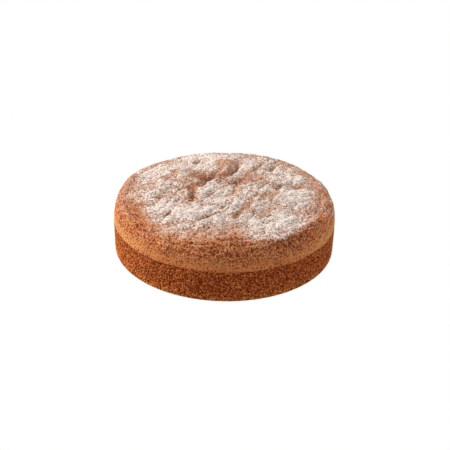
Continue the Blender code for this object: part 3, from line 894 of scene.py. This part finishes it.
class Nodes:
    """Adds and links the nodes of one material."""

    def __init__(self, name):
        self.material = bpy.data.materials.new(name)
        self.material.use_nodes = True
        self.tree = self.material.node_tree
        self.shader = self.tree.nodes["Principled BSDF"]
        self.place = self.add("ShaderNodeTexCoord").outputs["Object"]

    def add(self, kind, **settings):
        """A new node with its settings."""
        node = self.tree.nodes.new(kind)
        for key, value in settings.items():
            setattr(node, key, value)
        return node

    def join(self, source, socket):
        """Link a source to a socket, or set the socket to a plain number or colour."""
        if isinstance(source, bpy.types.NodeSocket):
            self.tree.links.new(source, socket)
        elif isinstance(source, (int, float)):
            socket.default_value = source
        else:
            socket.default_value = (*source, 1.0)

    def attribute(self, name):
        """The numbers that are stored for the mesh's points."""
        return self.add("ShaderNodeAttribute", attribute_name=name).outputs["Fac"]

    def noise(self, size, detail=2.0, roughness=0.5):
        """Noise about a half, with lumps of the given size in metres."""
        node = self.add("ShaderNodeTexNoise")
        self.join(self.place, node.inputs["Vector"])
        node.inputs["Scale"].default_value = 1.0 / size
        node.inputs["Detail"].default_value = detail
        node.inputs["Roughness"].default_value = roughness
        return node.outputs["Fac"]

    def pinholes(self, size):
        """Round spots of uneven size, one at most to a cell of the given size in metres."""
        node = self.add("ShaderNodeTexVoronoi")
        self.join(self.place, node.inputs["Vector"])
        node.inputs["Scale"].default_value = 1.0 / size
        uneven = self.math("MULTIPLY_ADD", node.outputs["Color"], 0.30, node.outputs["Distance"])
        return self.between(uneven, 0.52, 0.36)

    def math(self, operation, *sources, clamp=False):
        """What an operation makes of its sources."""
        node = self.add("ShaderNodeMath", operation=operation, use_clamp=clamp)
        for source, socket in zip(sources, node.inputs):
            self.join(source, socket)
        return node.outputs["Value"]

    def times(self, first, second):
        """A product."""
        return self.math("MULTIPLY", first, second)

    def varied(self, value, unevenness, amount, clamp=False):
        """A value raised and lowered by noise about a half."""
        return self.math("MULTIPLY_ADD", self.math("SUBTRACT", unevenness, 0.5), amount, value, clamp=clamp)

    def between(self, value, low, high):
        """A value mapped softly from 0 at low to 1 at high."""
        node = self.add("ShaderNodeMapRange", interpolation_type="SMOOTHSTEP")
        self.join(value, node.inputs["Value"])
        self.join(low, node.inputs["From Min"])
        self.join(high, node.inputs["From Max"])
        return node.outputs["Result"]

    def blend(self, share, first, second):
        """The first colour where the share is 0 and the second where it is 1."""
        node = self.add("ShaderNodeMix", data_type="RGBA")
        self.join(share, node.inputs[0])
        self.join(first, node.inputs[6])
        self.join(second, node.inputs[7])
        return node.outputs[2]

    def ramp(self, value, stops):
        """Colours at stops along a value."""
        node = self.add("ShaderNodeValToRGB")
        self.join(value, node.inputs["Fac"])
        elements = node.color_ramp.elements
        while len(elements) < len(stops):
            elements.new(0.5)
        for element, (position, colour) in zip(elements, stops):
            element.position = position
            element.color = (*colour, 1.0)
        return node.outputs["Color"]

    def finish(self, colour, roughness, specular, height, distance):
        """Give the surface its colour, its gloss and its fine relief, and return the material."""
        self.join(colour, self.shader.inputs["Base Color"])
        self.shader.inputs["Roughness"].default_value = roughness
        self.shader.inputs["Specular IOR Level"].default_value = specular
        node = self.add("ShaderNodeBump")
        self.join(height, node.inputs["Height"])
        node.inputs["Distance"].default_value = distance
        self.join(node.outputs["Normal"], self.shader.inputs["Normal"])
        return self.material


def baked_crust(n, colours, brown, dust, gold):
    """Crust from the pale band to dark brown, yellower where it is golden, with painted shade where dust
    lies thick and, through brown, in creases and pits.
    """
    shade = n.varied(brown, n.noise(3.5 * MM, 3.0), 0.60)
    shade = n.varied(shade, n.noise(1.4 * MM, 2.0), 1.10)
    # Painted shade: crust between thick dust is darker, as crust in recesses would be.
    shade = n.math("MULTIPLY_ADD", n.times(dust, dust), 0.15, shade)
    # The last stop, towards the darkest crust, is reached mostly through painted shade in creases and pits.
    stops = (
        (0.0, colours.pale_band),
        (0.24, colours.golden),
        (0.58, colours.brown),
        (1.0, colours.dark_crust_and_shade),
    )
    return n.blend(n.times(gold, n.between(brown, 0.6, 0.0)), n.ramp(shade, stops), colours.end_gold)


def dusty_crust(n, colours, crust, dust):
    """Crust under a haze of fine sugar, in places rosy and in places straw."""
    rosy = n.between(n.noise(13 * MM, 1.0), 0.40, 0.60)
    haze = n.blend(rosy, colours.dusty_straw, colours.dusty_rose)
    return n.blend(n.times(dust, 0.76), crust, haze)


def flecked_crust(n, colours, crust, brown, dust):
    """Crust with painted shade in fine hollows and painted highlight on raised grains, fainter under dust
    and on the pale band.
    """
    speck = n.noise(1.3 * MM, 1.0, 0.7)
    # Painted shade in fine hollows.
    hollow = n.times(n.between(speck, 0.47, 0.42), n.math("MULTIPLY_ADD", dust, -0.35, 0.90))
    crust = n.blend(n.times(hollow, n.between(brown, -0.50, 0.35)), crust, colours.fleck_shade)
    # Painted highlight on raised grains.
    raised = n.times(n.between(speck, 0.54, 0.59), n.math("MULTIPLY_ADD", dust, -0.60, 0.90))
    return n.blend(n.times(raised, n.between(brown, 0.12, 0.45)), crust, colours.crust_fleck_highlight)


def sugar_mask(n, sugar):
    """Where the sugar hides the crust: speckled where it is thin, and closed where it is thick."""
    spread = n.times(n.between(sugar, 0.0, 0.32), 3.2)
    grain = n.times(n.math("SUBTRACT", n.noise(1.5 * MM, 1.0, 0.9), 0.5), spread)
    thickness = n.math("MULTIPLY_ADD", n.pinholes(2.4 * MM), -0.50, n.math("ADD", sugar, grain))
    return n.between(thickness, 0.05, 0.85)


def sugar_coat(n, colours, sugar):
    """The sugar's colour, whiter where it is thick, with specks of crust between its grains, partly darkened
    as painted shade in the gaps.
    """
    coat = n.blend(n.between(sugar, 0.25, 0.85), colours.thin_sugar, colours.sugar)
    # Specks of crust between the grains, partly painted shade in the gaps.
    specks = n.times(n.between(n.noise(2.4 * MM, 1.0, 0.9), 0.52, 0.41), n.between(sugar, 0.20, 0.70))
    return n.blend(n.times(specks, 0.90), coat, colours.sugar_gap_shade)


def make_crust_material(colours):
    """Baked crust with painted shade in pits, pinholes and hollows and painted highlight on raised flecks,
    under a speckled coat of sugar.
    """
    n = Nodes("dusted crust")
    sugar, dust, brown = (n.attribute(name) for name in ("sugar", "dust", "brown"))
    pit, gold, seam = (n.attribute(name) for name in ("pit", "gold", "seam"))
    crust = dusty_crust(n, colours, baked_crust(n, colours, brown, dust, gold), dust)
    crust = flecked_crust(n, colours, crust, brown, dust)
    # Painted shade in the crust's pinholes.
    crust = n.blend(n.times(n.pinholes(2.6 * MM), 0.75), crust, colours.dark_crust_and_shade)
    # Painted shade in the crust's pits.
    crust = n.blend(n.times(pit, 0.55), crust, colours.dark_crust_and_shade)
    crust = n.blend(seam, crust, colours.crumb)
    mask = sugar_mask(n, sugar)
    skin = n.blend(mask, crust, sugar_coat(n, colours, sugar))
    height = n.math("MULTIPLY_ADD", mask, 0.2, n.noise(1.3 * MM, 2.0, 0.7))
    return n.finish(skin, roughness=0.85, specular=0.06, height=height, distance=1.2 * MM)


def make_crumb_material(colours):
    """Brown open crumb with painted shade in its pores, pinholes and hollows and painted highlight on
    lighter torn edges.
    """
    n = Nodes("brown crumb")
    pit, crumb, foot = (n.attribute(name) for name in ("pit", "crumb", "foot"))
    # Orange round the foot, at the back and on the left: partly the crumb's colour, partly painted light.
    toasted_and_lit = n.varied(foot, n.noise(6 * MM, 3.0), 0.8, clamp=True)
    base = n.blend(toasted_and_lit, colours.crumb, colours.toasted_and_lit)
    fleck = n.noise(1.2 * MM, 1.0)
    # Painted highlight on torn edges.
    edge = n.between(n.math("MULTIPLY_ADD", crumb, 0.10, fleck), 0.55, 0.60)
    base = n.blend(n.times(edge, 0.85), base, colours.crumb_fleck_highlight)
    # Painted shade in hollows, pinholes and pores.
    hollow = n.math("MAXIMUM", n.times(n.between(fleck, 0.47, 0.42), 0.75), n.pinholes(2.4 * MM))
    hollow = n.math("MAXIMUM", n.times(pit, 0.9), hollow)
    porous = n.blend(hollow, base, colours.pore_shade)
    height = n.math("ADD", fleck, n.times(pit, -0.6))
    return n.finish(porous, roughness=0.9, specular=0.04, height=height, distance=0.9 * MM)


def make_sugar_material(colours):
    """Matt white sugar, a little uneven."""
    n = Nodes("icing sugar")
    warm = [channel * share for channel, share in zip(colours.sugar, (0.95, 0.88, 0.80))]
    white = n.blend(n.noise(2 * MM, 2.0), warm, colours.sugar)
    return n.finish(white, roughness=0.9, specular=0.2, height=n.noise(0.4 * MM, 1.0), distance=0.08 * MM)


def surface_samples(mesh, weights, count, rng):
    """Random places on a mesh's faces, as often as the points' weights say."""
    mesh.calc_loop_triangles()
    corners = np.empty(len(mesh.loop_triangles) * 3, np.int32)
    mesh.loop_triangles.foreach_get("vertices", corners)
    corners = corners.reshape(-1, 3)
    triangle = point_vectors(mesh, "co")[corners].astype(float)
    first, second = triangle[:, 1] - triangle[:, 0], triangle[:, 2] - triangle[:, 0]
    area = np.linalg.norm(np.cross(first, second), axis=1)
    chance = area * weights[corners].mean(axis=1)
    chosen = rng.choice(len(corners), size=count, p=chance / chance.sum())
    share = rng.random((count, 2))
    share = np.where(share.sum(1, keepdims=True) > 1.0, 1.0 - share, share)
    return triangle[chosen, 0] + share[:, :1] * first[chosen] + share[:, 1:] * second[chosen]


def random_turns(count, rng):
    """Random rotations as matrices."""
    q = rng.normal(size=(count, 4))
    w, x, y, z = (q / np.linalg.norm(q, axis=1, keepdims=True)).T
    rows = (
        (1 - 2 * (y * y + z * z), 2 * (x * y - z * w), 2 * (x * z + y * w)),
        (2 * (x * y + z * w), 1 - 2 * (x * x + z * z), 2 * (y * z - x * w)),
        (2 * (x * z - y * w), 2 * (y * z + x * w), 1 - 2 * (x * x + y * y)),
    )
    return np.stack([np.stack(row, 1) for row in rows], 1)


def scatter(name, places, sizes, rng):
    """One mesh of many turned and unevenly stretched octahedra."""
    count, corners = len(places), len(OCTAHEDRON_CORNERS)
    stretch = rng.uniform(*STRETCH, (count, 1, 3))
    uneven = rng.uniform(*CORNER_SHARES, (count, corners, 1))
    local = OCTAHEDRON_CORNERS * stretch * uneven * sizes[:, None, None]
    vertices = np.einsum("nij,npj->npi", random_turns(count, rng), local) + places[:, None, :]
    faces = OCTAHEDRON_FACES + corners * np.arange(count)[:, None, None]
    mesh = bpy.data.meshes.new(name)
    mesh.from_pydata(vertices.reshape(-1, 3), [], faces.reshape(-1, 3).tolist())
    mesh.shade_smooth()
    return mesh


def uneven_sizes(mean, count, largest_share, rng):
    """Sizes spread about a mean."""
    return mean * rng.lognormal(0.0, SIZE_SPREAD, count).clip(SMALLEST_SHARE, largest_share)


class SugarGrains(PropertyGroup):
    """How the loose sugar and crumbs lie."""

    grain_count: IntProperty(name="Sugar grains", description="Loose grains and clumps", default=24000)
    grain_size: length_property("Grain size", "Mean half width of a sugar grain", 0.27 * MM)
    crumb_count: IntProperty(name="Crumbs", description="Torn crumbs on the side", default=5200)
    crumb_size: length_property("Crumb size", "Mean half width of a crumb", 0.42 * MM)
    seed: IntProperty(name="Seed", description="Start of the random draws", default=7)


class CAKE_OT_crumb_side(Operator):
    """Build the porous lower side and the base of the cake"""

    bl_idname = "cake.crumb_side"
    bl_label = "Crumb side"

    def execute(self, context):
        material = make_crumb_material(context.scene.cake_colours)
        add_piece("crumb_side", make_side_mesh(context.scene.cake_shape), material)
        return {"FINISHED"}


class CAKE_OT_top_crust(Operator):
    """Build the wrinkled crust with its dusting of sugar"""

    bl_idname = "cake.top_crust"
    bl_label = "Top crust"

    def execute(self, context):
        material = make_crust_material(context.scene.cake_colours)
        add_piece("top_crust", make_crust_mesh(context.scene.cake_shape), material)
        return {"FINISHED"}


class CAKE_OT_sugar(Operator):
    """Scatter loose grains and clumps of icing sugar over the crust"""

    bl_idname = "cake.sugar"
    bl_label = "Icing sugar"

    def execute(self, context):
        grains = context.scene.cake_grains
        crust = bpy.data.objects["top_crust"].data
        rng = np.random.default_rng(grains.seed)
        weights = smooth_step(0.55, 1.10, attribute_values(crust, "sugar"))
        places = surface_samples(crust, weights, grains.grain_count, rng)
        sizes = uneven_sizes(grains.grain_size, grains.grain_count, 2.2, rng)
        places[:, 2] = np.minimum(places[:, 2], CAKE_HIGH[2] - FARTHEST_CORNER * sizes)
        mesh = scatter("sugar_grains", places, sizes, rng)
        add_piece("sugar_grains", mesh, make_sugar_material(context.scene.cake_colours))
        return {"FINISHED"}


class CAKE_OT_crumbs(Operator):
    """Scatter torn crumbs over the side, thicker round the foot"""

    bl_idname = "cake.crumbs"
    bl_label = "Crumbs"

    def execute(self, context):
        grains = context.scene.cake_grains
        side = bpy.data.objects["crumb_side"].data
        rng = np.random.default_rng(grains.seed + 1)
        z = point_vectors(side, "co")[:, 2]
        on_wall = smooth_step(0.6 * MM, 1.2 * MM, z) * (1.0 - smooth_step(26 * MM, 29 * MM, z))
        weights = on_wall * mix(1.0, 0.35, smooth_step(1 * MM, 6 * MM, z))
        places = surface_samples(side, weights, grains.crumb_count, rng)
        sizes = uneven_sizes(grains.crumb_size, grains.crumb_count, 2.0, rng)
        sizes = np.minimum(sizes, 0.6 * places[:, 2])
        outside = np.hypot(places[:, 0], places[:, 1]) + CRUMB_MARGIN * sizes - CAKE_RADIUS
        places[:, :2] *= 1.0 - outside.clip(0.0)[:, None] / CAKE_RADIUS
        mesh = scatter("torn_crumbs", places, sizes, rng)
        for name in ("pit", "crumb", "foot"):
            shades = rng.uniform(0.0, 0.4, grains.crumb_count)
            add_attribute(mesh, name, np.repeat(shades, len(OCTAHEDRON_CORNERS)))
        add_piece("torn_crumbs", mesh, make_crumb_material(context.scene.cake_colours))
        return {"FINISHED"}


class StudioSettings(PropertyGroup):
    """Camera and lights."""

    distance: length_property("Distance", "Camera to its target", 0.750)
    elevation: FloatProperty(
        name="Elevation", description="How far the camera looks down", default=radians(28.9), subtype="ANGLE"
    )
    target_x: length_property("Target X", "Target's place", 0.0007)
    target_z: length_property("Target Z", "Target's height", 0.0175)
    roll: FloatProperty(name="Roll", description="Camera's tilt", default=radians(1.31), subtype="ANGLE")
    lens: FloatProperty(name="Lens", description="Focal length in millimetres", default=59.37)
    key_power: FloatProperty(name="Key", description="Light from the left", default=16.8, unit="POWER")
    back_power: FloatProperty(name="Back", description="Light from behind", default=6.0, unit="POWER")
    ambient: FloatProperty(name="Ambient", description="Even light from all sides", default=0.51)
    floor_light: FloatProperty(name="Floor", description="Light off the floor", default=0.66)


def white_to_camera(tree, strength, kind, out):
    """Plain white where the camera looks, and a softer light for everything else."""
    path = tree.nodes.new("ShaderNodeLightPath")
    seen, lit = tree.nodes.new(kind), tree.nodes.new(kind)
    for node, value in ((seen, 1.0), (lit, strength)):
        node.inputs["Color"].default_value = WHITE
        node.inputs["Strength"].default_value = value
    mixer = tree.nodes.new("ShaderNodeMixShader")
    tree.links.new(path.outputs["Is Camera Ray"], mixer.inputs[0])
    tree.links.new(lit.outputs[0], mixer.inputs[1])
    tree.links.new(seen.outputs[0], mixer.inputs[2])
    tree.links.new(mixer.outputs[0], out.inputs["Surface"])


def add_area_light(name, direction, distance, power):
    """A square light that looks at the middle of the cake."""
    light = bpy.data.lights.new(name, "AREA")
    light.shape = "SQUARE"
    light.size = LAMP_SIZE
    light.energy = power
    light.color = LAMP_COLOUR
    lamp = bpy.data.objects.new(name, light)
    lamp.location = Vector(direction).normalized() * distance + Vector((0.0, 0.0, AIM_HEIGHT))
    lamp.rotation_euler = Vector(direction).to_track_quat("Z", "Y").to_euler()
    bpy.context.scene.collection.objects.link(lamp)


class CAKE_OT_stage(Operator):
    """Build the white floor, the lights and the camera"""

    bl_idname = "cake.stage"
    bl_label = "Stage"

    def execute(self, context):
        studio = context.scene.cake_studio
        self.add_floor(studio)
        self.add_lights(context, studio)
        self.add_camera(context, studio)
        context.scene.view_settings.view_transform = "Standard"
        return {"FINISHED"}

    def add_floor(self, studio):
        """A white disc just below the cake."""
        place = (0.0, 0.0, -FLOOR_GAP)
        bpy.ops.mesh.primitive_circle_add(vertices=96, radius=FLOOR_RADIUS, fill_type="NGON", location=place)
        floor = bpy.context.object
        floor.name = "floor"
        material = bpy.data.materials.new("white floor")
        material.use_nodes = True
        tree = material.node_tree
        tree.nodes.remove(tree.nodes["Principled BSDF"])
        white_to_camera(tree, studio.floor_light, "ShaderNodeEmission", tree.nodes["Material Output"])
        floor.data.materials.append(material)

    def add_lights(self, context, studio):
        """A white world and two lamps, from the left and from behind on the right."""
        world = bpy.data.worlds.new("studio")
        world.use_nodes = True
        tree = world.node_tree
        tree.nodes.remove(tree.nodes["Background"])
        white_to_camera(tree, studio.ambient, "ShaderNodeBackground", tree.nodes["World Output"])
        context.scene.world = world
        add_area_light("key", KEY_DIRECTION, KEY_DISTANCE, studio.key_power)
        add_area_light("back", BACK_DIRECTION, BACK_DISTANCE, studio.back_power)

    def add_camera(self, context, studio):
        """A camera that looks down at the cake from the front."""
        camera = bpy.data.objects.new("camera", bpy.data.cameras.new("camera"))
        away = Vector((0.0, -cos(studio.elevation), sin(studio.elevation)))
        camera.location = Vector((studio.target_x, 0.0, studio.target_z)) + away * studio.distance
        camera.rotation_euler = away.to_track_quat("Z", "Y").to_euler()
        camera.rotation_euler.rotate_axis("Z", studio.roll)
        camera.data.lens = studio.lens
        context.scene.collection.objects.link(camera)
        context.scene.camera = camera


class CAKE_PT_panel(Panel):
    """Buttons that build the cake"""

    bl_label = "Sponge cake"
    bl_idname = "CAKE_PT_panel"
    bl_space_type = "VIEW_3D"
    bl_region_type = "UI"
    bl_category = "Cake"

    def draw(self, context):
        for operator in OPERATORS:
            self.layout.operator(operator.bl_idname)


GROUPS = {
    "cake_shape": CakeShape,
    "cake_colours": CakeColours,
    "cake_grains": SugarGrains,
    "cake_studio": StudioSettings,
}
OPERATORS = (CAKE_OT_crumb_side, CAKE_OT_top_crust, CAKE_OT_sugar, CAKE_OT_crumbs, CAKE_OT_stage)


def register():
    """Register the settings, the operators and the panel."""
    for item in (*GROUPS.values(), *OPERATORS, CAKE_PT_panel):
        bpy.utils.register_class(item)
    for name, group in GROUPS.items():
        setattr(bpy.types.Scene, name, PointerProperty(type=group))


def unregister():
    """Take away what register added."""
    for name in GROUPS:
        delattr(bpy.types.Scene, name)
    for item in (CAKE_PT_panel, *OPERATORS, *GROUPS.values()):
        bpy.utils.unregister_class(item)


def main():
    """Build the whole scene."""
    register()
    bpy.ops.cake.crumb_side()
    bpy.ops.cake.top_crust()
    bpy.ops.cake.sugar()
    bpy.ops.cake.crumbs()
    bpy.ops.cake.stage()


if __name__ == "__main__":
    main()
